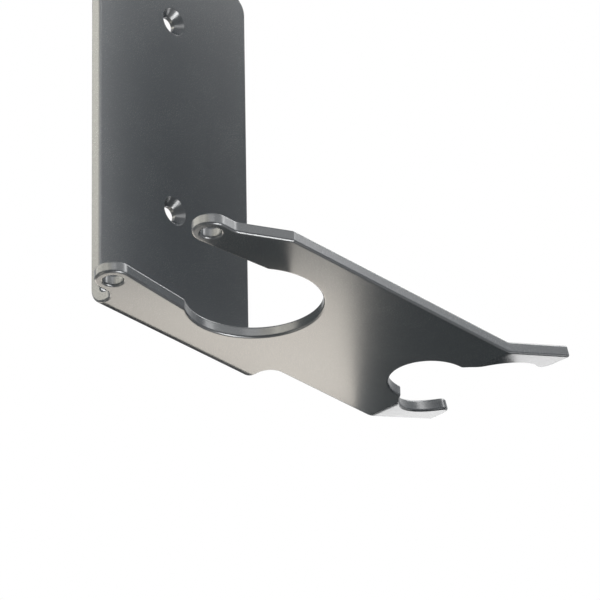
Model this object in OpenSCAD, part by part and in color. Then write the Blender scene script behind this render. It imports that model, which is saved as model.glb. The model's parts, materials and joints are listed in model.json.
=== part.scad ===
// Wall mount, folded from one steel sheet.
// X runs along the wall, +Y into the wall, Z up. The origin is on the wall face,
// midway between the two wall screws. The back plate stands on the wall, the shelf
// is folded forward from its foot, and the shelf's right end is a fork folded up.

/* [Sheet] */
// Thickness of the sheet with its powder coat
sheet_t = 5; // [4:0.5:6]
// Inside radius of the fold between the back plate and the shelf
fold_r = 3; // [2:0.5:8]

/* [Back plate] */
// Width of the back plate
plate_w = 86; // [80:1:110]
// Height from the shelf's underside to the top edge
plate_h = 180; // [160:1:240]
// Radius of the two top corners
plate_corner_r = 8; // [2:1:20]
// Radius of the inside corners where the plate's sides meet the shelf
root_r = 6; // [2:0.5:8]

/* [Wall screws] */
// Distance between the two screws, one above the other
screw_pitch = 90; // [60:1:120]
// Distance from the top edge down to the upper screw
screw_drop = 30; // [15:1:40]
// Diameter of a screw hole
screw_d = 6.5; // [4:0.5:8]
// Diameter of its countersink at the front face
screw_head_d = 12.5; // [10:0.5:14]

/* [Hole and slot] */
// Diameter of the hole in the shelf, which takes the foot of what stands on it
seat_d = 55; // [50:1:66]
// Distance from the wall to the middle of the hole
seat_from_wall = 48; // [44:1:60]
// Distance from the middle of the hole to the shelf's front edge
seat_to_front = 45; // [38:1:60]
// Width of the slot where it opens into the hole
throat_w = 45; // [42:0.5:49]
// Radius of the corners between the slot and the hole
throat_r = 3; // [1:0.5:5]

/* [Eyes] */
// Distance between the two eyes, across the slot's mouth
eye_pitch = 53; // [46:0.5:62]
// Distance from the plate's side out to the eyes' middles
eye_reach = 9; // [8:0.5:20]
// Outside diameter of an eye
eye_d = 15; // [12:0.5:18]
// Diameter of the hole through an eye
eye_hole_d = 8; // [5:0.5:9]
// Distance from an eye's middle to the neck of the front arm
neck_reach = 6.5; // [4:0.5:15]
// Angle of the flare from the neck out to the front edge
flare_angle = 28; // [20:1:45]
// Radius inside the neck
neck_r = 5; // [1:0.5:8]
// Radius of the corner between the flare and the front edge
flare_r = 2; // [1:0.5:6]

/* [Fork] */
// Distance along the sheet from the hole's middle to the middle of the fork's round seat
fork_reach = 121.5; // [100:0.5:150]
// Diameter of the round seat, which is open between the prongs' ends
fork_seat_d = 58; // [48:1:64]
// Width of the front prong where it is narrowest
front_prong_w = 10; // [6:0.5:16]
// Width of the rear prong where it is narrowest
rear_prong_w = 8.5; // [5:0.5:14]
// Width of the narrow end of the cut-out
neck_slot_w = 33; // [24:1:40]
// Distance from the round seat's middle to the middle of the narrow end's arc
neck_slot_reach = 25; // [20:0.5:32]
// Radius of the corners between the narrow end and the round seat
bump_r = 2; // [1:0.5:3]
// Distance along the sheet from the round seat's middle to the prongs' ends
prong_reach = 19.5; // [14:0.5:24]
// Radius of the prongs' inner corners
prong_r = 4.5; // [1:0.5:6]

/* [Fork fold] */
// Distance along the sheet from the round seat's middle back to the fold
fold_back = 22; // [16:0.5:27]
// Inside radius of the fold
fork_fold_r = 8; // [4:0.5:10]
// Angle that the prongs are folded up
fork_angle = 19; // [10:1:30]

/* [Hidden] */
$fn = 96;

// Outer radius of the main fold, which is also where the flats begin
fold_out = fold_r + sheet_t;
// Height of the screws' middle over the shelf's underside
screw_z = plate_h - screw_drop - screw_pitch / 2;

// Plan of the shelf. y is the distance from the wall, taken negative.
seat = [0, -seat_from_wall];
front_y = -(seat_from_wall + seat_to_front);
eye_x = -(plate_w / 2 + eye_reach);
eye_r = eye_d / 2;
arm_rear_y = seat.y + eye_pitch / 2 + eye_r;
arm_front_y = seat.y - eye_pitch / 2 - eye_r;
neck_x = eye_x + neck_reach;
flare_x = neck_x + (arm_front_y - front_y) / tan(flare_angle);

// The fork's cut-out on the unrolled sheet, and the fork's back edge
fork_seat = [fork_reach, front_y + front_prong_w + fork_seat_d / 2];
fork_y = fork_seat.y + fork_seat_d / 2 + rear_prong_w;
neck_slot = fork_seat - [neck_slot_reach, 0];
prong_end = fork_reach + prong_reach;
// Inside corners at the plate's sides, kept clear of the main fold
left_root_r = min(root_r, -fold_out - arm_rear_y);
right_root_r = min(root_r, -fold_out - fork_y);

// Fold of the fork. Its axis runs along Y over the shelf.
fork_fold_x = fork_reach - fold_back;
fork_axis_z = sheet_t + fork_fold_r;
fork_neutral_r = fork_fold_r + sheet_t / 2;
// Length of the prongs beyond the fold
prong_flat = prong_end - fork_fold_x - fork_neutral_r * fork_angle * PI / 180;
// Number of wedges that carry the cut-out through the fold
fork_steps = 6;
// Overlap of neighbouring wedges, along the sheet
lap = 0.05;
// Overshoot of a cutting shape past the face that it cuts
past = 2;
// Overlap of two outlines that meet tangentially, so that no gap is left between them
weld = 0.001;

function unit(v) = v / norm(v);
function turned(v, a) = [v.x * cos(a) - v.y * sin(a), v.x * sin(a) + v.y * cos(a)];
function across(v) = [-v.y, v.x];

// Point on the line from p along the unit direction u that is d away from c, the far one
function far_point(p, u, c, d) =
    let (w = p - c, k = w * u)
    p + u * (sqrt(k * k - w * w + d * d) - k);

// Where the circles a, ra and b, rb meet, on the side of larger y. Both middles have one y.
function circles_meet(a, ra, b, rb) =
    let (d = b.x - a.x, k = (d * d + ra * ra - rb * rb) / (2 * d))
    [a.x + k, a.y + sqrt(ra * ra - k * k)];

// The point at x on the circle c, r, on the side of larger y
function circle_point(c, r, x) = [x, c.y + sqrt(r * r - pow(x - c.x, 2))];

// What a fillet of radius r adds to an inside corner, or takes off an outside one. Its
// tip lies past the corner, so that only the arc crosses the corner's two sides.
module corner_sliver(before, corner, after, r) {
    u = unit(before - corner);
    v = unit(after - corner);
    half = acos(u * v) / 2;
    inward = unit(u + v);
    difference() {
        polygon([corner - inward * past, corner + u * r / tan(half), corner + v * r / tan(half)]);
        translate(corner + inward * r / sin(half)) circle(r + weld);
    }
}

// The rear wall of the slot, which the front one mirrors. It leaves the hole at the
// throat and runs tangent to the rear eye. Its corner at the throat is an arc that
// touches the hole and the wall.
throat = seat + [-sqrt(pow(seat_d / 2, 2) - pow(throat_w / 2, 2)), throat_w / 2];
rear_eye = [eye_x, seat.y + eye_pitch / 2];
to_eye = rear_eye - throat;
slot_dir = turned(unit(to_eye), asin(eye_r / norm(to_eye)));
slot_touch = rear_eye + across(slot_dir) * (eye_r - weld);
throat_mid = far_point(throat - across(slot_dir) * throat_r, slot_dir, seat, seat_d / 2 + throat_r);
throat_foot = throat_mid + across(slot_dir) * throat_r;

// Draws its children on the rear side of a middle line, and mirrored on the front side
module both_sides(middle_y) {
    children();
    translate([0, 2 * middle_y]) mirror([0, 1]) children();
}

// The hole in the shelf, with the slot that leads into it between the two arms
module charger_keyhole() {
    translate(seat) circle(d = seat_d);
    both_sides(seat.y) {
        polygon([seat, throat, slot_touch, rear_eye, [eye_x, seat.y]]);
        difference() {
            polygon([seat, throat_mid, throat_foot, [throat_foot.x, seat.y]]);
            translate(throat_mid) circle(throat_r + weld);
        }
    }
}

// Middle of the arc between the narrow end and the round seat
bump_mid = circles_meet(neck_slot, neck_slot_w / 2 + bump_r, fork_seat, fork_seat_d / 2 + bump_r);
// Middle of the arc between the round seat and a prong's end
prong_mid = circle_point(fork_seat, fork_seat_d / 2 + prong_r, prong_end - prong_r);

// The fork's cut-out, on the unrolled sheet: a narrow end that opens into a round seat
module connector_cutout() {
    translate(fork_seat) circle(d = fork_seat_d);
    translate(neck_slot) circle(d = neck_slot_w);
    both_sides(fork_seat.y) {
        difference() {
            polygon([neck_slot, bump_mid, fork_seat]);
            translate(bump_mid) circle(bump_r + weld);
        }
        difference() {
            polygon([fork_seat, prong_mid, [prong_end + past, prong_mid.y],
                     [prong_end + past, fork_seat.y]]);
            translate(prong_mid) circle(prong_r + weld);
        }
    }
}

// The flat of the shelf, from the main fold to the fork's fold
module shelf_outline() {
    left = -plate_w / 2;
    right = plate_w / 2;
    difference() {
        union() {
            polygon([[left, -fold_out], [left, arm_rear_y], [eye_x, arm_rear_y], [eye_x, arm_front_y],
                     [neck_x, arm_front_y], [flare_x, front_y], [fork_fold_x, front_y],
                     [fork_fold_x, fork_y], [right, fork_y], [right, -fold_out]]);
            corner_sliver([left, -fold_out], [left, arm_rear_y], [eye_x, arm_rear_y], left_root_r);
            corner_sliver([right, -fold_out], [right, fork_y], [fork_fold_x, fork_y], right_root_r);
            corner_sliver([eye_x, arm_front_y], [neck_x, arm_front_y], [flare_x, front_y], neck_r);
        }
        corner_sliver([neck_x, arm_front_y], [flare_x, front_y], [fork_fold_x, front_y], flare_r);
        charger_keyhole();
        connector_cutout();
    }
}

// The two eyes at the ends of the arms, with their holes still to be cut
module eye_discs() {
    for (side = [-1, 1])
        translate([eye_x, seat.y + side * eye_pitch / 2]) circle(eye_r);
}

module shelf() {
    difference() {
        linear_extrude(sheet_t) union() {
            shelf_outline();
            eye_discs();
        }
        for (side = [-1, 1])
            translate([eye_x, seat.y + side * eye_pitch / 2, -past])
                cylinder(h = sheet_t + 2 * past, d = eye_hole_d);
    }
}

// The main fold, a quarter of a ring along the plate's whole width
module main_fold() {
    translate([-plate_w / 2, -fold_out, fold_out]) rotate([90, 0, 90])
        linear_extrude(plate_w)
            intersection() {
                difference() {
                    circle(fold_out);
                    circle(fold_r);
                }
                translate([0, -fold_out]) square(fold_out);
            }
}

// The back plate with its countersunk screw holes
module back_plate() {
    half = plate_w / 2;
    difference() {
        rotate([90, 0, 0]) linear_extrude(sheet_t)
            difference() {
                translate([-half, fold_out]) square([plate_w, plate_h - fold_out]);
                corner_sliver([-half, 0], [-half, plate_h], [half, plate_h], plate_corner_r);
                corner_sliver([half, 0], [half, plate_h], [-half, plate_h], plate_corner_r);
            }
        for (side = [-1, 1])
            translate([0, past, screw_z + side * screw_pitch / 2]) rotate([90, 0, 0])
                cylinder(h = sheet_t + 2 * past, d = screw_d);
        for (side = [-1, 1])
            translate([0, -sheet_t, screw_z + side * screw_pitch / 2]) rotate([-90, 0, 0])
                cylinder(h = (screw_head_d - screw_d) / 2, d1 = screw_head_d, d2 = screw_d);
    }
}

// Side view of the fork beyond the flat of the shelf, with the fold's two arcs
module fork_profile() {
    slope = [cos(fork_angle), sin(fork_angle)];
    corner = tan(fork_angle / 2);
    bend_under = [fork_fold_x + fork_axis_z * corner, 0];
    bend_top = [fork_fold_x + fork_fold_r * corner, sheet_t];
    end_under = bend_under + slope * (fork_axis_z * corner + prong_flat);
    end_top = bend_top + slope * (fork_fold_r * corner + prong_flat);
    difference() {
        union() {
            polygon([[fork_fold_x, 0], bend_under, end_under, end_top, bend_top, [fork_fold_x, sheet_t]]);
            corner_sliver([fork_fold_x, sheet_t], bend_top, end_top, fork_fold_r);
        }
        corner_sliver([fork_fold_x, 0], bend_under, end_under, fork_axis_z);
    }
}

// Carries a piece of the unrolled sheet round the fork's fold by an angle
module rolled(angle) {
    len = fork_neutral_r * angle * PI / 180;
    translate([fork_fold_x, 0, fork_axis_z]) rotate([0, -angle, 0])
        translate([-fork_fold_x - len, 0, -fork_axis_z]) children();
}

// Cuts a piece of the unrolled sheet's outline through the sheet
module through_sheet() {
    translate([0, 0, -past]) linear_extrude(sheet_t + 2 * past) children();
}

// A wedge that holds the fork's fold between two angles
module fold_wedge(from, to) {
    reach = 2 * fork_axis_z;
    translate([fork_fold_x, fork_y + past, fork_axis_z]) rotate([90, 0, 0])
        linear_extrude(fork_y - front_y + 2 * past)
            polygon([[0, 0], [reach * sin(from), -reach * cos(from)], [reach * sin(to), -reach * cos(to)]]);
}

// The fork: the fold and the two prongs. The cut-out was made in the flat sheet, so it
// follows the fold in narrow wedges, each square to the sheet, and ends flat in the prongs.
module fork() {
    step = fork_angle / fork_steps;
    lap_angle = lap / fork_neutral_r * 180 / PI;
    difference() {
        translate([0, fork_y, 0]) rotate([90, 0, 0])
            linear_extrude(fork_y - front_y) fork_profile();
        for (i = [0 : fork_steps - 1])
            intersection() {
                fold_wedge(i * step - lap_angle, (i + 1) * step + lap_angle);
                rolled((i + 0.5) * step) through_sheet() connector_cutout();
            }
        rolled(fork_angle) through_sheet()
            intersection() {
                connector_cutout();
                translate([prong_end - prong_flat - lap, front_y])
                    square([prong_flat + lap + past, fork_y - front_y]);
            }
    }
}

// The whole folded sheet, moved so that the screws' middle is the origin
module bracket() {
    color("dimgray")
        translate([0, 0, -screw_z])
            union() {
                back_plate();
                main_fold();
                shelf();
                fork();
            }
}

bracket();
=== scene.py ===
# %% [markdown]
# A wall mount of folded steel
#
# The part is one steel sheet, 5 mm thick. It is cut flat, folded twice and powder coated in
# anthracite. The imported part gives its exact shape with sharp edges, and it could simply be
# given a material. An eye and a hand would then miss two things: the edges, which were
# rounded before coating, and the satin skin. So this script makes the same sheet again, flat
# and with rounded edges, folds it along the same two lines, and adds coat, camera and light.
# The sheet is worked out in millimetres, and there are MM of them to each of Blender's metres.

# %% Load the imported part
import json
import math

import bpy
import numpy as np
from mathutils import Matrix, Vector
from mathutils.geometry import delaunay_2d_cdt

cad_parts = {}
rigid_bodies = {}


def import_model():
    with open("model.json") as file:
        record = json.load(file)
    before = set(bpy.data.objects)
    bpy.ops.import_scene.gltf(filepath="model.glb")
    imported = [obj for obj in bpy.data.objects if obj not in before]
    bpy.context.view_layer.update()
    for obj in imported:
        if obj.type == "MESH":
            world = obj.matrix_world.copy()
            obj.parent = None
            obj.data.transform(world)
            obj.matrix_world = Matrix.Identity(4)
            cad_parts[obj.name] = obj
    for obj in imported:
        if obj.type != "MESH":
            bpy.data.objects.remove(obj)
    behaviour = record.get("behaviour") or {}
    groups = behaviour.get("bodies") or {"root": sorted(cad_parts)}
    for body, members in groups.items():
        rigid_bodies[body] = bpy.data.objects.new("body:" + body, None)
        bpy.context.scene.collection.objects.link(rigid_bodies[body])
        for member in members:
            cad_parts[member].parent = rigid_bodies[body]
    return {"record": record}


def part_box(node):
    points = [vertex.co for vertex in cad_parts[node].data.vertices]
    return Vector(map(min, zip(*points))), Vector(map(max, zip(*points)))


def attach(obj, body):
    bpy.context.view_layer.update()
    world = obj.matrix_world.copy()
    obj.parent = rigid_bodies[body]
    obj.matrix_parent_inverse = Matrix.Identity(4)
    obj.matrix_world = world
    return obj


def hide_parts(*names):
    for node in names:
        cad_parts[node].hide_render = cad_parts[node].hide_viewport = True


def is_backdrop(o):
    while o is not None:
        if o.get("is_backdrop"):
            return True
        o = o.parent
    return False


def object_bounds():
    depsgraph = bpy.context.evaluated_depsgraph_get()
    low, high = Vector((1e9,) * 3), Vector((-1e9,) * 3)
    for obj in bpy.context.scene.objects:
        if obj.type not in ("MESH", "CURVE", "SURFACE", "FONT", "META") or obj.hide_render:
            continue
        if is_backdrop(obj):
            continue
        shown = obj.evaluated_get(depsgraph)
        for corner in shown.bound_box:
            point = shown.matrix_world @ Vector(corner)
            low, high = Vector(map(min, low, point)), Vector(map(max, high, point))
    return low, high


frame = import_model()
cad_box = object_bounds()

MM = 1000
LOWEST, HIGHEST = [[round(MM * v, 1) for v in corner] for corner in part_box("bracket")]
print("packed sheet, mm:", LOWEST, HIGHEST)

# %% [markdown]
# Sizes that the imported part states
#
# The real part is measured at a few places that matter to what it holds: round seats, eyes
# and screw holes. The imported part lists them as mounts, with a place and a size. Typing them
# in again would let the two drift apart, so they are read. The sizes in between are the
# maker's own and are typed in below, in millimetres, each once.

# %% Read the mounts
MOUNTS = {mount["name"]: mount for mount in frame["record"]["mounts"]}


def place_of(mount):
    """Where a mount lies, seen from above, in millimetres."""
    return np.array([round(MM * v, 2) for v in MOUNTS[mount]["pos_m"][:2]])


def size_of(mount, size):
    """One size of a mount, in millimetres."""
    return MOUNTS[mount]["dims"][size]


print("mounts:", sorted(MOUNTS))

# %% [markdown]
# The flat blank
#
# A folded bracket is drawn as a blank: the sheet before it is folded. Here x runs along the
# wall and y from the room to the wall. Past the main fold, y climbs up the back plate. The
# folded shape could be modelled face by face, but on the flat every outline stays a plain
# drawing. The length of a bend is taken at the middle of the sheet, as a press-brake
# operator does, since the inside is squeezed and the outside stretched. The fork's fold is
# placed by how far it lies back from the middle of the fork's round seat.

# %% Sizes of the sheet and its two bends
SHEET = size_of("charger_seat", "length_mm")
MIDDLE = SHEET / 2
MAIN_INSIDE = 3.0
MAIN_ANGLE = math.radians(90)
MAIN_START = -(MAIN_INSIDE + SHEET)
MAIN_END = MAIN_START + (MAIN_INSIDE + MIDDLE) * MAIN_ANGLE
FORK_INSIDE = 8.0
FORK_REACH, FOLD_BACK = 121.5, 22.0
FORK_START = FORK_REACH - FOLD_BACK
fork_axis = MOUNTS["connector_seat"]["axis"]
FORK_ANGLE = math.radians(round(math.degrees(math.atan2(-fork_axis[0], fork_axis[2]))))
FORK_END = FORK_START + (FORK_INSIDE + MIDDLE) * FORK_ANGLE


def up_the_plate(height):
    """Where a height over the middle of the two wall screws lies on the blank."""
    return MAIN_END + height - LOWEST[2] - (MAIN_INSIDE + SHEET)


PLATE_TOP = up_the_plate(HIGHEST[2])
print(f"the main bend takes {MAIN_END - MAIN_START:.2f} mm of sheet")
print(f"the fork's bend takes {FORK_END - FORK_START:.2f} mm")
print(f"fork up by {math.degrees(FORK_ANGLE):.0f} degrees, top of the blank at {PLATE_TOP:.2f}")

# %% [markdown]
# Points on a straight edge
#
# An edge of the real sheet that runs across a bend is straight on the blank and curved once
# folded. Subdividing every edge finely would do, but wastes points on the flats. So a
# straight edge gets a point every half millimetre where the sheet bends, and every five
# millimetres elsewhere.

# %% Straight edges
BEND_STEP, FLAT_STEP, NO_LENGTH = 0.5, 5.0, 1e-6


def across(v):
    """The direction a quarter turn to the left of v."""
    return np.array([-v[1], v[0]])


def bends_at(point):
    """Whether the sheet bends at this point of the blank."""
    x, y = point
    return MAIN_START <= y <= MAIN_END or (FORK_START <= x <= FORK_END and y < MAIN_START)


def along(p, q):
    """Points from p up to q, close together where the sheet bends."""
    cuts = [0.0, 1.0]
    for axis, borders in ((0, (FORK_START, FORK_END)), (1, (MAIN_START, MAIN_END))):
        if abs(q[axis] - p[axis]) > NO_LENGTH:
            places = [(border - p[axis]) / (q[axis] - p[axis]) for border in borders]
            cuts += [t for t in places if 0 < t < 1]
    cuts = sorted(cuts)
    length = np.linalg.norm(q - p)
    found = []
    for a, b in zip(cuts, cuts[1:]):
        step = BEND_STEP if bends_at(p + (q - p) * (a + b) / 2) else FLAT_STEP
        count = max(1, math.ceil(length * (b - a) / step))
        found += [p + (q - p) * t for t in np.linspace(a, b, count, endpoint=False)]
    return found


test_line = along(np.array([90.0, -50.0]), np.array([120.0, -50.0]))
print("a 30 mm line across the fork's bend gets", len(test_line), "points")

# %% [markdown]
# One outline, wound like a belt
#
# The whole edge of the sheet is made of straight lines and arcs that run into each other
# smoothly: corners, eyes, seat and fork. It could be drawn as a Bezier curve, but then every
# handle is a guess. Such an outline is also a belt round pulleys. Each pulley is a circle.
# The belt goes round a positive one to the left, which is an outside corner of the steel,
# and round a negative one to the right, which is a hollow. The straight lines between them
# are then worked out, never typed in. Each point of the belt also knows which way is out of
# the steel, and the rounded edges will need that.

# %% The belt
ARC_TURN, ARC_STEP = math.radians(9), 0.9


def belt(pulleys):
    """Points of the closed belt round (x, y, radius) pulleys, and the ways out of the steel."""
    centres = [np.array(p[:2], float) for p in pulleys]
    radii = [p[2] for p in pulleys]
    lefts = []
    for i, start in enumerate(centres):
        j = (i + 1) % len(pulleys)
        gap = centres[j] - start
        distance = np.linalg.norm(gap)
        ahead = gap / distance
        lean = (radii[j] - radii[i]) / distance
        run = math.sqrt(max(0.0, 1 - lean * lean))
        lefts.append(across(run * ahead - lean * across(ahead)))
    points, outs = [], []
    for i, (centre, radius) in enumerate(zip(centres, radii)):
        first, last = -lefts[i - 1], -lefts[i]
        begin = math.atan2(first[1], first[0])
        turn = math.atan2(last[1], last[0]) - begin
        turn = turn % (2 * math.pi) if radius > 0 else -((-turn) % (2 * math.pi))
        count = max(2, math.ceil(abs(turn) / min(ARC_TURN, ARC_STEP / abs(radius))))
        for k in range(count + 1):
            angle = begin + turn * k / count
            out = np.array([math.cos(angle), math.sin(angle)])
            points.append(centre + radius * out)
            outs.append(out)
        leave = points[-1]
        j = (i + 1) % len(pulleys)
        arrive = centres[j] + radii[j] * last
        if np.linalg.norm(arrive - leave) > NO_LENGTH:
            for point in along(leave, arrive)[1:]:
                points.append(point)
                outs.append(last)
        else:
            points.pop()
            outs.pop()
    return np.array(points), np.array(outs)


def length_of(outline):
    """How long a closed outline is."""
    return np.sum(np.linalg.norm(outline - np.roll(outline, -1, axis=0), axis=1))


test_belt = belt([(0, 0, 5), (20, 0, 5)])[0]
print(f"a test belt round two 10 mm pulleys, 20 mm apart, is {length_of(test_belt):.1f} mm long")

# %% [markdown]
# Round holes
#
# The eyes and the screw holes are plain round cuts. A Boolean with a cylinder would leave
# long thin faces round each one. A hole here is a closed row of points like the outer edge,
# and for the steel round it the way out is towards the hole's own middle.

# %% A round hole
HOLE_STEP = 0.7


def ring(x, y, radius):
    """A round hole: its points, and the ways out of the steel, which point to its middle."""
    count = 2 * math.ceil(math.pi * radius / HOLE_STEP)
    angles = -np.arange(count) * 2 * math.pi / count
    spokes = np.stack([np.cos(angles), np.sin(angles)], axis=1)
    return np.array([x, y]) + radius * spokes, -spokes


print("an 8 mm hole gets", len(ring(0, 0, 4.0)[0]), "points")

# %% [markdown]
# Sizes of the outline
#
# The shelf has a round seat with a slot that opens to the left between two arms, and each
# arm ends in an eye. To the right it ends in a fork: a second, larger round seat, open
# between two prongs, with a narrow end cut back into the shelf. The front arm starts as a
# narrow neck and flares out to the long front edge. These few sizes drive everything else,
# so a change to one of them moves all that touches it. A name that ends in R is a radius.

# %% Seat, slot, eyes, fork and edges
SEAT = place_of("charger_seat")
SEAT_R = size_of("charger_seat", "r_mm")
EYE_X, EYE_OFF = place_of("rear_lock_eye") - [0, SEAT[1]]
EYE_HOLE_R = size_of("rear_lock_eye", "r_mm")
EYE_R = 7.5
THROAT_HALF, THROAT_R = 22.5, 3.0
FORK_SEAT = np.array([FORK_REACH, place_of("connector_seat")[1]])
FORK_SEAT_R = size_of("connector_seat", "r_mm")
NARROW_BACK, NARROW_R, NOSE_R = 25.0, 16.5, 2.0
NARROW = FORK_SEAT - [NARROW_BACK, 0]
PRONG_REACH, PRONG_R, TIP_R, REAR_PRONG = 19.5, 4.5, 1.2, 8.5
PRONG_END = FORK_REACH + PRONG_REACH
FRONT, BACK = LOWEST[1], FORK_SEAT[1] + FORK_SEAT_R + REAR_PRONG
NECK_REACH, NECK_R, FLARE_R = 6.5, 5.0, 2.0
NECK_X = EYE_X + NECK_REACH
FLARE = math.radians(28)
PLATE_HALF, PLATE_CORNER_R, INNER_CORNER_R = 43.0, 8.0, 6.0
print("seat", SEAT, "eyes at", EYE_X, "and", EYE_OFF, "to each side, fork's seat", FORK_SEAT)

# %% [markdown]
# Pulleys worked out from what they touch
#
# On the real sheet no corner is left sharp: where the slot meets the seat, and where a neck
# meets a flare, a small arc eases the way. Blender's bevel tool could round such corners
# after the fact. Here the middle of each arc is found by geometry instead, because then the
# arc touches its neighbours exactly and the belt runs on without a kink.

# %% Arcs that ease the corners
def throat_pulley():
    """Middle of the arc where the slot's rear wall opens into the seat."""
    corner = SEAT + [-math.sqrt(SEAT_R ** 2 - THROAT_HALF ** 2), THROAT_HALF]
    eye = np.array([EYE_X, SEAT[1] + EYE_OFF])
    gap = eye - corner
    lean = math.atan2(gap[1], gap[0]) + math.asin(EYE_R / np.linalg.norm(gap))
    wall = np.array([math.cos(lean), math.sin(lean)])
    start = corner - across(wall) * THROAT_R
    off = start - SEAT
    slide = off @ wall
    return start + wall * (math.sqrt(slide ** 2 - off @ off + (SEAT_R + THROAT_R) ** 2) - slide)


def corner_pulley(before, corner, after, radius):
    """Middle of the arc that rounds a corner between two straight edges."""
    u = np.subtract(before, corner) / np.linalg.norm(np.subtract(before, corner))
    v = np.subtract(after, corner) / np.linalg.norm(np.subtract(after, corner))
    half = math.acos(u @ v) / 2
    return corner + (u + v) / np.linalg.norm(u + v) * radius / math.sin(half)


throat = throat_pulley()
neck = np.array([NECK_X, SEAT[1] - EYE_OFF - EYE_R])
flare = np.array([neck[0] + (neck[1] - FRONT) / math.tan(FLARE), FRONT])
neck_mid = corner_pulley([EYE_X, neck[1]], neck, flare, NECK_R)
flare_mid = corner_pulley(neck, flare, [PRONG_END, FRONT], FLARE_R)
print("throat", throat.round(2), "neck", neck_mid.round(2), "flare", flare_mid.round(2))

# %% [markdown]
# Noses and prongs of the fork
#
# Inside the fork two small round noses stand where its round seat runs into its narrow end,
# and each prong ends in a round tip. They could be drawn by eye and nudged until they fit. But
# a nose touches two circles, and a tip touches one circle and the fork's end, so two lines of
# school geometry give their middles exactly.

# %% Noses and tips
seats_apart = FORK_SEAT[0] - NARROW[0]
to_narrow, to_seat = NARROW_R + NOSE_R, FORK_SEAT_R + NOSE_R
nose_x = NARROW[0] + (seats_apart ** 2 + to_narrow ** 2 - to_seat ** 2) / (2 * seats_apart)
nose_off = math.sqrt(to_narrow ** 2 - (nose_x - NARROW[0]) ** 2)
tip_x = PRONG_END - PRONG_R
tip_off = math.sqrt((FORK_SEAT_R + PRONG_R) ** 2 - (tip_x - FORK_SEAT[0]) ** 2)
print(f"noses at {nose_x:.2f}, {nose_off:.2f} to each side, tips at {tip_x:.2f}, {tip_off:.2f}")

# %% [markdown]
# The pulleys of this sheet
#
# They follow the real bracket round: down the back plate's left side, round the rear eye, in
# along the slot, round the seat and out again, round the front eye, over the flare to the
# long front edge, round the fork and back up the plate. One closed list is used and not a
# union of simple shapes, because it reads like a walk round the part.

# %% Wind the belt and place the holes
plate_corner = (PLATE_HALF - PLATE_CORNER_R, PLATE_TOP - PLATE_CORNER_R)
inner_x = PLATE_HALF + INNER_CORNER_R
edge_pulleys = [
    (-plate_corner[0], plate_corner[1], PLATE_CORNER_R),
    (-inner_x, SEAT[1] + EYE_OFF + EYE_R + INNER_CORNER_R, -INNER_CORNER_R),
    (EYE_X, SEAT[1] + EYE_OFF, EYE_R),
    (throat[0], throat[1], THROAT_R),
    (SEAT[0], SEAT[1], -SEAT_R),
    (throat[0], 2 * SEAT[1] - throat[1], THROAT_R),
    (EYE_X, SEAT[1] - EYE_OFF, EYE_R),
    (neck_mid[0], neck_mid[1], -NECK_R),
    (flare_mid[0], flare_mid[1], FLARE_R),
    (PRONG_END - TIP_R, FRONT + TIP_R, TIP_R),
    (tip_x, FORK_SEAT[1] - tip_off, PRONG_R),
    (FORK_SEAT[0], FORK_SEAT[1], -FORK_SEAT_R),
    (nose_x, NARROW[1] - nose_off, NOSE_R),
    (NARROW[0], NARROW[1], -NARROW_R),
    (nose_x, NARROW[1] + nose_off, NOSE_R),
    (FORK_SEAT[0], FORK_SEAT[1], -FORK_SEAT_R),
    (tip_x, FORK_SEAT[1] + tip_off, PRONG_R),
    (PRONG_END - TIP_R, BACK - TIP_R, TIP_R),
    (inner_x, BACK + INNER_CORNER_R, -INNER_CORNER_R),
    (plate_corner[0], plate_corner[1], PLATE_CORNER_R),
]
edge = belt(edge_pulleys)
eye_holes = [ring(EYE_X, SEAT[1] + side * EYE_OFF, EYE_HOLE_R) for side in (-1, 1)]
screw_r = size_of("wall_screws", "hole_r_mm")
screw_off = size_of("wall_screws", "spacing_y_mm") / 2
screw_holes = [ring(0, up_the_plate(side * screw_off), screw_r) for side in (-1, 1)]
print(f"the outer edge is {length_of(edge[0]):.0f} mm long and has {len(edge[0])} points")

# %% [markdown]
# Rounded edges
#
# A laser-cut edge is sharp, and a coat flows off a sharp edge, so such sheets are tumbled or
# brushed first. It shows as a fine line of light along every edge. A bevel modifier could do
# this, but at the arcs of a thin sheet it leaves uneven shading. Here the edge is lofted
# instead: the outline is drawn several times through the thickness, and drawn back a little
# near each face, like the layers of a rounded cake. Every layer knows its slope, so the
# light runs over the edge without a seam.

# %% Profile of the edge
ROUNDING = 1.0


def rounded_profile(radius, steps=5):
    """Rows of (drawn back, height, out, up), from the underside to the top face."""
    rows = []
    for k in range(steps + 1):
        a = math.pi / 2 * k / steps
        out, down = math.sin(a), math.cos(a)
        rows.append((radius * (1 - out), radius * (1 - down), out, -down))
    for back, height, out, up in reversed(rows[:]):
        rows.append((back, SHEET - height, out, -up))
    return rows


sheet_edge = rounded_profile(ROUNDING)
print(f"{len(sheet_edge)} layers round the edge")

# %% [markdown]
# Countersunk screw holes
#
# A screw hole opens out at 45 degrees to the top face, so that the screw's head sits flush.
# A cone could be cut out with a Boolean. The same loft does it with a longer profile: a
# plain hole, a slight bend, the slope, and a slight bend into the face.

# %% Profile of a screw hole
COUNTERSINK, SCREW_ROUNDING = 3.0, 0.3


def countersunk_profile(depth, radius, steps=3):
    """The same rows for a hole that widens by depth on its last depth millimetres."""
    rows = rounded_profile(radius, steps)[:steps + 1]
    bend = radius * math.tan(math.pi / 8)
    for k in range(steps + 1):
        a = math.pi / 4 * k / steps
        height = SHEET - depth - bend + radius * math.sin(a)
        rows.append((radius * (1 - math.cos(a)), height, math.cos(a), math.sin(a)))
    for k in range(steps + 1):
        a = math.pi / 4 * (1 + k / steps)
        back = depth + bend - radius * math.cos(a)
        rows.append((back, SHEET - radius + radius * math.sin(a), math.cos(a), math.sin(a)))
    return rows


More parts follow.
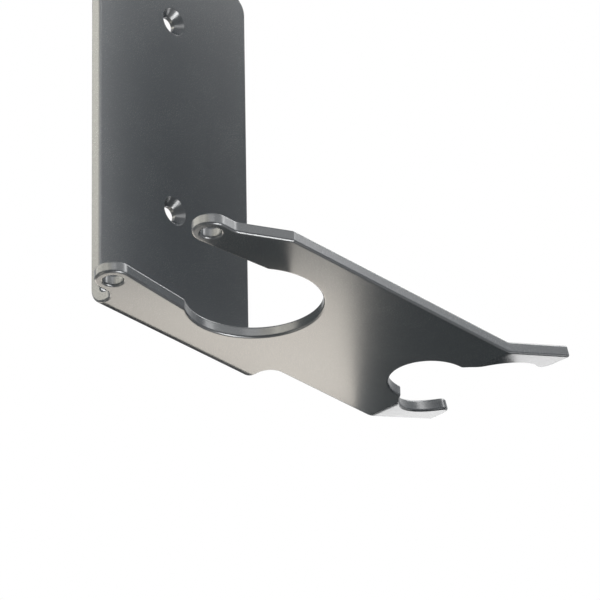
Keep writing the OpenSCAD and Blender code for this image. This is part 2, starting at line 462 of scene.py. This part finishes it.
screw_edge = countersunk_profile(COUNTERSINK, SCREW_ROUNDING)
print(f"{len(screw_edge)} layers in a screw hole, {2 * (screw_r + COUNTERSINK)} mm wide at the top")

# %% [markdown]
# The blank's walls
#
# The layers of an edge, joined by four-sided faces, make its wall. A solidify modifier would
# build walls too, but straight ones. The blank is kept as plain lists of points, directions
# and faces, which are easy to fold before Blender sees them.

# %% The blank
class Blank:
    """Points, directions and faces of the flat sheet."""

    def __init__(self):
        self.points, self.normals, self.faces = [], [], []
        self.loops = {"under": [], "top": []}

    def add(self, points, normals):
        first = len(self.points)
        self.points += list(points)
        self.normals += list(normals)
        return np.arange(first, len(self.points))

    def wall(self, loop, profile):
        """Lofts one closed edge, and keeps its first and last layer for the flat faces."""
        flat, outs = loop
        rows = []
        for back, height, out, up in profile:
            place = np.column_stack([flat - outs * back, np.full(len(flat), height)])
            rows.append(self.add(place, np.column_stack([outs * out, np.full(len(flat), up)])))
        for low, high in zip(rows, rows[1:]):
            for i in range(len(low)):
                j = (i + 1) % len(low)
                self.faces.append((low[i], low[j], high[j], high[i]))
        self.loops["under"].append(rows[0])
        self.loops["top"].append(rows[-1])


blank = Blank()
blank.wall(edge, sheet_edge)
for hole in eye_holes:
    blank.wall(hole, sheet_edge)
for hole in screw_holes:
    blank.wall(hole, screw_edge)
print(f"walls: {len(blank.points)} points, {len(blank.faces)} faces")

# %% [markdown]
# Where the steel is, and points for the bends
#
# The two flat faces will be filled with triangles. A flat face needs no points of its own,
# but a bend does, or it would look faceted once folded. A fine grid over the whole sheet
# would work and be heavy, so only the two bends get rows of points, clear of the edges. A
# place is on the steel if a line from it crosses the outlines an odd number of times.

# %% Places on the steel
CLEAR_OF_EDGE = 0.45
MAIN_ROWS, MAIN_COLUMNS, MAIN_INSET = 19, 41, 1.5
FORK_ROWS, FORK_SPACING, FORK_INSET = 9, 1.5, 1.0


def inside(places, outlines):
    """Which places lie on the steel, inside the outer edge and outside every hole."""
    odd = np.zeros(len(places), bool)
    for outline in outlines:
        ends = np.roll(outline, -1, axis=0)
        for (x1, y1), (x2, y2) in zip(outline, ends):
            crosses = (y1 > places[:, 1]) != (y2 > places[:, 1])
            if y1 != y2:
                odd ^= crosses & (places[:, 0] < x1 + (places[:, 1] - y1) * (x2 - x1) / (y2 - y1))
    return odd


def bend_points(outlines):
    """Rows of points across the two bends, clear of the edges."""
    main_xs = np.linspace(MAIN_INSET - PLATE_HALF, PLATE_HALF - MAIN_INSET, MAIN_COLUMNS)
    main_ys = np.linspace(MAIN_START, MAIN_END, MAIN_ROWS)
    fork_xs = np.linspace(FORK_START, FORK_END, FORK_ROWS)
    fork_ys = np.arange(FRONT + FORK_INSET, BACK, FORK_SPACING)
    main = [(x, y) for y in main_ys for x in main_xs]
    fork = [(x, y) for x in fork_xs for y in fork_ys]
    places = np.array(main + fork)
    places = places[inside(places, outlines)]
    edge_points = np.concatenate(outlines)
    near = np.array([np.min(np.sum((edge_points - p) ** 2, axis=1)) for p in places])
    return places[near > CLEAR_OF_EDGE ** 2]


test_places = np.array([SEAT, [40.0, -50.0], FORK_SEAT])
print("seat, shelf and fork's seat are steel:", inside(test_places, [edge[0]]))

# %% [markdown]
# The flat faces
#
# Top and underside are one flat face each on the real sheet, with a long wandering edge and
# four holes. Blender can fill such an outline as one many-sided face, but that shades badly
# at a bend. A Delaunay triangulation joins the edge and the points of the bends with
# well-shaped triangles, and those that fall in a hole or outside are dropped.

# %% Fill the two faces
SAME_POINT = 1e-7


def fill_face(blank, side):
    """Fills one flat face between the ends of the walls, and counts its triangles."""
    height, up = (0.0, -1.0) if side == "under" else (SHEET, 1.0)
    loops = blank.loops[side]
    shared = np.concatenate(loops)
    place = [Vector(blank.points[i][:2]) for i in shared]
    lines, first, outlines = [], 0, []
    for loop in loops:
        lines += [(first + i, first + (i + 1) % len(loop)) for i in range(len(loop))]
        first += len(loop)
        outlines.append(np.array([blank.points[i][:2] for i in loop]))
    place += [Vector(p) for p in bend_points(outlines)]
    verts, _, tris, origin, _, _ = delaunay_2d_cdt(place, lines, [], 0, SAME_POINT)
    fresh = blank.add([(v.x, v.y, height) for v in verts], [(0, 0, up)] * len(verts))
    names = []
    for i, made_from in enumerate(origin):
        on_wall = len(made_from) and min(made_from) < len(shared)
        names.append(shared[min(made_from)] if on_wall else fresh[i])
    middles = np.array([[sum(verts[i][axis] for i in t) / 3 for axis in (0, 1)] for t in tris])
    kept = [tris[i] for i in np.flatnonzero(inside(middles, outlines))]
    for t in kept:
        t = [names[i] for i in t]
        blank.faces.append(tuple(t) if up > 0 else tuple(reversed(t)))
    return len(kept)


counts = [fill_face(blank, "under"), fill_face(blank, "top")]
print(f"triangles on the underside and the top: {counts}, all faces: {len(blank.faces)}")

# %% [markdown]
# Folding
#
# A press brake bends the real sheet round a rounded blade. A simple deform modifier can bend
# a mesh, but always the whole of it. Here each point of the blank is carried round its bend:
# the further along the bend, the more it turns, and its distance from the bend's axis stays
# as it was. The direction that each point faces turns with it, so the shading stays exact.

# %% The fold
def fold(points, normals, inside_radius, start, angle, along_axis):
    """Points and directions after a bend that begins at start along one axis."""
    axis_height = SHEET + inside_radius
    length = (axis_height - MIDDLE) * angle
    run = points[:, along_axis] - start
    turn = np.clip(run / (axis_height - MIDDLE), 0, angle)
    beyond = np.where(run > length, run - length, np.minimum(run, 0))
    radius = axis_height - points[:, 2]
    ahead, up = np.sin(turn), np.cos(turn)
    folded, faced = points.copy(), normals.copy()
    folded[:, along_axis] = start + radius * ahead + beyond * up
    folded[:, 2] = axis_height - radius * up + beyond * ahead
    faced[:, along_axis] = normals[:, along_axis] * up - normals[:, 2] * ahead
    faced[:, 2] = normals[:, along_axis] * ahead + normals[:, 2] * up
    return folded, faced


flat_points, flat_normals = np.array(blank.points, float), np.array(blank.normals, float)
forked = fold(flat_points, flat_normals, FORK_INSIDE, FORK_START, FORK_ANGLE, 0)
raised = fold(flat_points, flat_normals, MAIN_INSIDE, MAIN_START, MAIN_ANGLE, 1)
on_fork = (flat_points[:, 0] > FORK_START) & (flat_points[:, 1] < MAIN_START)
points = np.where(on_fork[:, None], forked[0], raised[0])
normals = np.where(on_fork[:, None], forked[1], raised[1])
points = (points + [0, 0, LOWEST[2]]) / MM
print("folded, mm:", np.round(points.min(0) * MM, 2), np.round(points.max(0) * MM, 2))

# %% [markdown]
# The sheet as a Blender mesh
#
# The real bracket is one piece of steel, so it becomes one object. Auto smooth could guess
# which edges are soft. This mesh is given the directions that were worked out with its
# points, since they are exact on the flats, the edges and the bends alike.

# %% Make the mesh
used = sorted({i for face in blank.faces for i in face})
number = {old: new for new, old in enumerate(used)}
faces = [tuple(number[i] for i in face) for face in blank.faces]
mesh = bpy.data.meshes.new("coated_sheet")
mesh.from_pydata(points[used].tolist(), [], faces)
mesh.shade_smooth()
mesh.normals_split_custom_set_from_vertices([Vector(n).normalized() for n in normals[used]])
sheet = bpy.data.objects.new("coated_sheet", mesh)
bpy.context.scene.collection.objects.link(sheet)
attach(sheet, "root")
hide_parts("bracket")
print(f"{len(mesh.vertices)} points, {sum(len(f) - 2 for f in faces)} triangles")

# %% [markdown]
# Shader maths
#
# A material in Blender is a web of small boxes. It could be built with one line for every
# box and every thread, but a sum reads better as a sum. This class stands for one output of
# a node, and adding to it, taking from it or multiplying it makes the Math node that does so.
# The reflected forms let a plain number stand first, as in 1 - mask.

# %% A value in a material
class Value:
    """One output of a node, which can be used in a sum."""

    def __init__(self, kit, socket):
        self.kit, self.socket = kit, socket

    def _math(self, operation, *values):
        return self.kit.node("ShaderNodeMath", {"operation": operation}, dict(enumerate(values)))

    def __add__(self, other):
        return self._math("ADD", self, other)

    def __sub__(self, other):
        return self._math("SUBTRACT", self, other)

    def __rsub__(self, other):
        return self._math("SUBTRACT", other, self)

    def __mul__(self, other):
        return self._math("MULTIPLY", self, other)

    __radd__, __rmul__ = __add__, __mul__


print("a value can be added to, taken from and multiplied")

# %% [markdown]
# One way to add any other node
#
# Noise, bump and shader nodes have settings, which are set first, and sockets, which take a
# number or a thread from another node. One method does both for every kind of node, so a
# material below is a short list of what it is made of.

# %% A kit of nodes
class Kit:
    """Adds nodes to one node tree."""

    def __init__(self, owner):
        owner.use_nodes = True
        self.tree = owner.node_tree
        self.tree.nodes.clear()

    def node(self, kind, settings=None, inputs=None, output=0):
        """Adds a node, sets it and feeds its sockets, and gives back one output."""
        made = self.tree.nodes.new(kind)
        for name, value in (settings or {}).items():
            setattr(made, name, value)
        for name, value in (inputs or {}).items():
            if isinstance(value, Value):
                self.tree.links.new(value.socket, made.inputs[name])
            else:
                made.inputs[name].default_value = value
        return Value(self, made.outputs[output]) if len(made.outputs) else None


print("a kit fills the node trees of materials and of the world")

# %% [markdown]
# The powder coat
#
# Powder is sprayed on dry and baked until it melts together. It flows out almost smooth, but
# keeps a fine orange peel, a millimetre or two across, and a finer grain that makes it satin
# and not glossy. A plain dark colour with an even roughness would look like plastic. So
# three noises share the work: one lifts the peel, one grains the gloss, and a wide one lets
# the anthracite drift a very little, as on real coats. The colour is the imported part's own.

# %% Noises of the coat
def noise(kit, place, scale, detail, roughness):
    """A three-dimensional noise; scale is in spots per metre."""
    return kit.node("ShaderNodeTexNoise", {"noise_dimensions": "3D"},
                    {"Vector": place, "Scale": scale, "Detail": detail, "Roughness": roughness})


coat = bpy.data.materials.new("powder_coat")
kit = Kit(coat)
place = kit.node("ShaderNodeTexCoord", output="Object")
PEEL_SPOTS, GRAIN_SPOTS, DRIFT_SPOTS = 520.0, 2600.0, 45.0
peel = noise(kit, place, PEEL_SPOTS, detail=2.0, roughness=0.45)
grain = noise(kit, place, GRAIN_SPOTS, detail=3.0, roughness=0.6)
drift = noise(kit, place, DRIFT_SPOTS, detail=3.0, roughness=0.5)
print(f"peel about {MM / PEEL_SPOTS:.1f} mm across, grain about {MM / GRAIN_SPOTS:.1f} mm")

# %% [markdown]
# From noises to a satin skin
#
# On the real coat the peel is far too low to feel, yet it breaks up every reflection. It
# could be modelled as displacement, which needs millions of points. A bump node bends only
# the light, which is enough for hollows of a few hundredths of a millimetre. The grain sits
# on top of the peel in a second bump node and also varies the roughness. Each noise runs
# from 0 to 1 round a half, so a half is taken off before it swings the roughness both ways.

# %% Powder coat material
DRIFT = 0.003
SATIN, GRAIN_SWING, DRIFT_SWING, HALF = 0.26, 0.12, 0.02, 0.5
PEEL_DEPTH, GRAIN_DEPTH = 0.06 / MM, 0.02 / MM
anthracite = frame["record"]["materials"][0]["base_color"]
darker = (*[channel - DRIFT for channel in anthracite], 1)
lighter = (*[channel + DRIFT for channel in anthracite], 1)
colour = kit.node("ShaderNodeMix", {"data_type": "RGBA", "blend_type": "MIX"},
                  {0: drift, 6: darker, 7: lighter}, output=2)
rough = SATIN + (grain - HALF) * GRAIN_SWING + (drift - HALF) * DRIFT_SWING
peel_bump = kit.node("ShaderNodeBump", {},
                     {"Strength": 0.25, "Distance": PEEL_DEPTH, "Height": peel})
grain_bump = kit.node("ShaderNodeBump", {},
                      {"Strength": 0.3, "Distance": GRAIN_DEPTH, "Height": grain,
                       "Normal": peel_bump})
surface = kit.node("ShaderNodeBsdfPrincipled", {},
                   {"Base Color": colour, "Roughness": rough, "Normal": grain_bump, "IOR": 1.5})
kit.node("ShaderNodeOutputMaterial", {}, {"Surface": surface})
sheet.data.materials.append(coat)
print("powder coat:", len(coat.node_tree.nodes), "nodes")

# %% [markdown]
# The camera
#
# The photograph looks up at the mount from the front left, from a little over two metres
# with a long lens, and hardly tilted. A camera could be aimed by eye until it looks alike.
# This one was found by laying the sheet's straight edges, its seat and its eyes over those
# in the photograph, because only then can shapes be compared at all.

# %% Camera
yaw, pitch, roll = math.radians(42.5852), math.radians(29.2501), math.radians(-1.0870)
CAMERA_PLACE = (-1.392835, -1.352694, -1.172416)
SENSOR_WIDTH, LENS = 36, 333.37
NEAREST, FARTHEST = 0.05, 50
camera = bpy.data.objects.new("camera", bpy.data.cameras.new("camera"))
bpy.context.scene.collection.objects.link(camera)
bpy.context.scene.camera = camera
camera.data.sensor_width, camera.data.lens = SENSOR_WIDTH, LENS
camera.data.clip_start, camera.data.clip_end = NEAREST, FARTHEST
away = Vector((math.cos(yaw), math.sin(yaw), 0))
forward = math.cos(pitch) * away + Vector((0, 0, math.sin(pitch)))
level = Vector((math.sin(yaw), -math.cos(yaw), 0))
upright = level.cross(forward)
right = math.cos(roll) * level + math.sin(roll) * upright
top = -math.sin(roll) * level + math.cos(roll) * upright
turned = Matrix((right, top, -forward)).transposed().to_4x4()
camera.matrix_world = Matrix.Translation(CAMERA_PLACE) @ turned
print(f"camera looks up {math.degrees(pitch):.1f} degrees from {camera.location.length:.2f} m")

# %% [markdown]
# What is seen, and what lights
#
# In the photograph the mount stands before plain white. A white that bright all round would
# flood a dark satin coat and wash out its shape. So floor and world are two things at once:
# white for the camera and for reflections, and much dimmer for light. Light Path tells which
# kind of ray is asking.

# %% Rays that see the studio
def seen_rays(kit):
    """1 for rays that see the studio, straight, mirrored or through glass, and 0 for light."""
    camera_ray = kit.node("ShaderNodeLightPath", output="Is Camera Ray")
    rays = camera_ray.socket.node.outputs
    glossy_ray = Value(kit, rays["Is Glossy Ray"])
    through_ray = Value(kit, rays["Is Transmission Ray"])
    return kit.node("ShaderNodeMath", {"operation": "ADD", "use_clamp": True},
                    {0: camera_ray + glossy_ray, 1: through_ray})


SEEN_SHARE = 0.75
WHITE = (1, 1, 1)
print(f"seen rays get {SEEN_SHARE:.0%} of plain white on top of what lights the object")

# %% [markdown]
# The floor
#
# A wall mount has no ground of its own and the photograph shows none. A floor close under it
# would hide it from a camera that looks up, so this one lies three metres down, as in a
# studio with the mount at eye height. A shadow-catching trick could hide it altogether, but
# plain card is honest in every view. It takes the mount's shadow, and a glow that only seen
# rays find makes it nearly as bright as the background.

# %% Floor
FLOOR_HALF, FLOOR_DOWN = 30.0, 3.0
PALE_CARD = (0.86, 0.86, 0.85)


def card_mesh(name, x, y):
    """A flat rectangle, x and y to each side of its middle."""
    made = bpy.data.meshes.new(name)
    made.from_pydata([(-x, -y, 0), (x, -y, 0), (x, y, 0), (-x, y, 0)], [], [(0, 1, 2, 3)])
    return made


floor = bpy.data.objects.new("floor", card_mesh("floor", FLOOR_HALF, FLOOR_HALF))
bpy.context.scene.collection.objects.link(floor)
floor.location = (0, 0, -FLOOR_DOWN)
paper = bpy.data.materials.new("pale_floor")
kit = Kit(paper)
card = kit.node("ShaderNodeBsdfDiffuse", {}, {"Color": (*PALE_CARD, 1)})
glow = kit.node("ShaderNodeEmission", {}, {"Color": (*WHITE, 1), "Strength": 1.0})
surface = kit.node("ShaderNodeMixShader", {}, {0: seen_rays(kit) * SEEN_SHARE, 1: card, 2: glow})
kit.node("ShaderNodeOutputMaterial", {}, {"Surface": surface})
floor.data.materials.append(paper)
floor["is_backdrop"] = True
print(f"floor {2 * FLOOR_HALF:.0f} m square, {FLOOR_DOWN:.0f} m below the wall screws")

# %% [markdown]
# The world
#
# The white behind the mount is Blender's world. A sheet of white paper behind it would do
# for one view, but the mount is looked at from all sides. The world is a white screen all
# round for seen rays, and a quarter as strong as light.

# %% World
world = bpy.data.worlds.new("studio")
bpy.context.scene.world = world
kit = Kit(world)
strength = (1 - SEEN_SHARE) + seen_rays(kit) * SEEN_SHARE
screen = kit.node("ShaderNodeBackground", {}, {"Color": (*WHITE, 1), "Strength": strength})
kit.node("ShaderNodeOutputWorld", {}, {"Surface": screen})
print(f"the world lights the part at {1 - SEEN_SHARE:.2f} of white")

# %% [markdown]
# Soft boxes
#
# Studio lamps for shiny goods are large cloth-covered boxes. A point lamp or a sun would
# draw hard dots and hard shadows on a satin coat. An area lamp is such a box: its size sets
# how soft its gleam is, and its radiance how bright, whatever its size. So the boxes below
# are given by radiance, where 1 is a white card in plain light, and Blender's power in watts
# is worked out.

# %% A soft box
CENTRE = (0.03, -0.05, -0.06)


def soft_box(name, off, size, radiance, aim=CENTRE, colour=WHITE):
    """An area lamp, off metres away from the point of the bracket that it faces."""
    lamp = bpy.data.lights.new(name, "AREA")
    lamp.shape = "RECTANGLE"
    lamp.size, lamp.size_y = size
    lamp.energy = radiance * math.pi * lamp.size * lamp.size_y
    lamp.color = colour
    box = bpy.data.objects.new(name, lamp)
    bpy.context.scene.collection.objects.link(box)
    box.location = Vector(aim) + Vector(off)
    box.rotation_euler = (-Vector(off)).to_track_quat("-Z", "Y").to_euler()
    box.visible_camera = False
    print(f"{name}: {lamp.energy:.1f} W")
    return box


# %% [markdown]
# Boxes for the whole part
#
# Front and top give plain soft light to the upright faces and to the shelf's top. The box
# for the front band stands high on the right and only lifts the long narrow edge. The rim
# box, behind on the left, draws the line of light along every left-hand edge, and it is a
# little warm, as the photograph's rims are. Two low boxes give the underside some soft light
# of its own. One big dome of light could replace them all, but it would leave no edge
# brighter than its face.

# %% Main boxes
WARM = (1, 0.96, 0.84)
FRONT_BAND = (0.03, -0.093, -0.1)
soft_box("front_box", off=(0.1, -1.2, 0.75), size=(2.0, 0.7), radiance=2.4)
soft_box("top_box", off=(0.65, -0.3, 0.95), size=(0.7, 0.5), radiance=7)
soft_box("band_box", off=(1.09, -1.556, 1.178), size=(0.61, 0.68), radiance=8,
         aim=FRONT_BAND)
soft_box("left_rim_box", off=(-1.1, 0.4, 0.82), size=(1.3, 0.56), radiance=7.5, colour=WARM)
soft_box("low_left_box", off=(-0.75, 0.65, -0.9), size=(0.6, 0.5), radiance=6, colour=WARM)
soft_box("low_front_box", off=(0.35, -0.7, -0.8), size=(1.1, 0.4), radiance=2)

# %% [markdown]
# Boxes for single edges
#
# In the photograph a soft light runs round each eye, and a sharp line along the front arm's
# lower edge. Brighter big boxes would bring them out but bleach the faces beside them. So
# small boxes stand exactly where those edges look. Round the eyes they close the gaps
# between the big boxes, which would show as dark stripes. The strip for the arm and the two
# boxes for the gaps are seen in reflections only and light nothing else.

# %% Edge boxes
EYES, FORK, FRONT_ARM = (-0.05, -0.05, -0.1), (0.13, -0.05, -0.095), (0.0, -0.09, -0.1)
soft_box("eye_box", off=(-0.85, -0.93, 0.73), size=(0.6, 0.5), radiance=5, aim=EYES)
gap_box = soft_box("gap_box", off=(-1.2, -0.42, 0.72), size=(0.7, 0.5), radiance=5,
                   aim=EYES, colour=WARM)
grazing_box = soft_box("grazing_box", off=(-0.61, 1.26, 0.78), size=(0.7, 0.5), radiance=4.5,
                       aim=EYES, colour=WARM)
soft_box("right_strip", off=(1.2, -0.3, -0.38), size=(0.25, 0.8), radiance=6)
soft_box("prong_box", off=(0.55, 0.42, 0.0), size=(0.22, 0.25), radiance=2.3, aim=FORK)
arm_strip = soft_box("arm_strip", off=(0.04, -0.56, -0.82), size=(0.4, 0.9), radiance=26,
                     aim=FRONT_ARM)
for box in (gap_box, grazing_box, arm_strip):
    box.visible_diffuse = False

# %% [markdown]
# The mirror of the underside
#
# Seen from below at a low angle, the flat underside is a dull mirror. In the photograph it
# fades from light at the left to nearly black at the right. Painting that fade on the steel
# would be wrong from any other side. A small box close behind the part makes it: the
# underside's left mirrors the box and its right looks past it. Places round the part are
# easiest to give as the camera sees them, as metres to the right, away and up.

# %% Box behind the part
def studio(to_right, depth, height):
    """A place as the camera sees it: metres to its right, away from it, and up."""
    return level * to_right + away * depth + Vector((0, 0, height))


TO_CAMERA = -away
soft_box("low_back_box", off=-TO_CAMERA, size=(0.2, 0.067), radiance=5,
         aim=studio(-0.0245, 0.08, -0.1515) + TO_CAMERA, colour=(1, 0.92, 0.81))

# %% [markdown]
# Black cards
#
# Whatever a satin coat doesn't see as a lamp it sees as white studio, which makes it milky.
# Photographers set black cards beside dark goods for that reason. Lowering the white would
# darken the background too. Each card here stands where one face looks: the rounded back of
# the main fold, the right end of the underside, the front arm, the back plate's right half
# and the root of the front prong. The camera doesn't see them, and the arm's card, which is
# close to the steel, casts no shadow either.

# %% Set the black cards
SOOT = (0.01, 0.01, 0.01)


def black_card(name, place, facing, size):
    """A card that is black to reflections and unseen by the camera."""
    card = bpy.data.objects.new(name, card_mesh(name, size[0] / 2, size[1] / 2))
    bpy.context.scene.collection.objects.link(card)
    card.location = place
    card.rotation_euler = Vector(facing).to_track_quat("Z", "Y").to_euler()
    black = bpy.data.materials.new(name)
    kit = Kit(black)
    surface = kit.node("ShaderNodeBsdfDiffuse", {}, {"Color": (*SOOT, 1)})
    kit.node("ShaderNodeOutputMaterial", {}, {"Surface": surface})
    card.data.materials.append(black)
    card.visible_camera = False
    card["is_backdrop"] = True
    return card


black_card("fold_card", (0.0275, 0.025, -0.1), (0, -1, 0), (0.105, 0.044))
black_card("right_card", studio(0.19, 0.14, -0.205), TO_CAMERA, (0.22, 0.19))
arm_card = black_card("arm_card", studio(0.033, -0.045, -0.1265), TO_CAMERA, (0.034, 0.034))
arm_card.visible_shadow = False
black_card("plate_card", (0.121, -0.13, 0.095), (0, 1, 0), (0.128, 0.23))
black_card("prong_card", (0.1525, -0.0426, -0.1025), TO_CAMERA, (0.025, 0.045))
cards = [o.name for o in bpy.context.scene.objects if o.name.endswith("_card")]
print("black cards:", cards)

# %% [markdown]
# View and sizes
#
# A photograph of goods should show a colour as it is. Blender's filmic views soften bright
# colours, so the plain Standard view is used. Last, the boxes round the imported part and
# round the finished sheet are written down, to see that nothing has grown.

# %% View settings, sizes and finish
bpy.context.scene.view_settings.view_transform = "Standard"
visual_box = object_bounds()
grown = [MM * (abs(b) - abs(a)) for p, q in zip(cad_box, visual_box) for a, b in zip(p, q)]
print("the sheet is outside the packed part's box by at most", round(max(grown), 3), "mm")
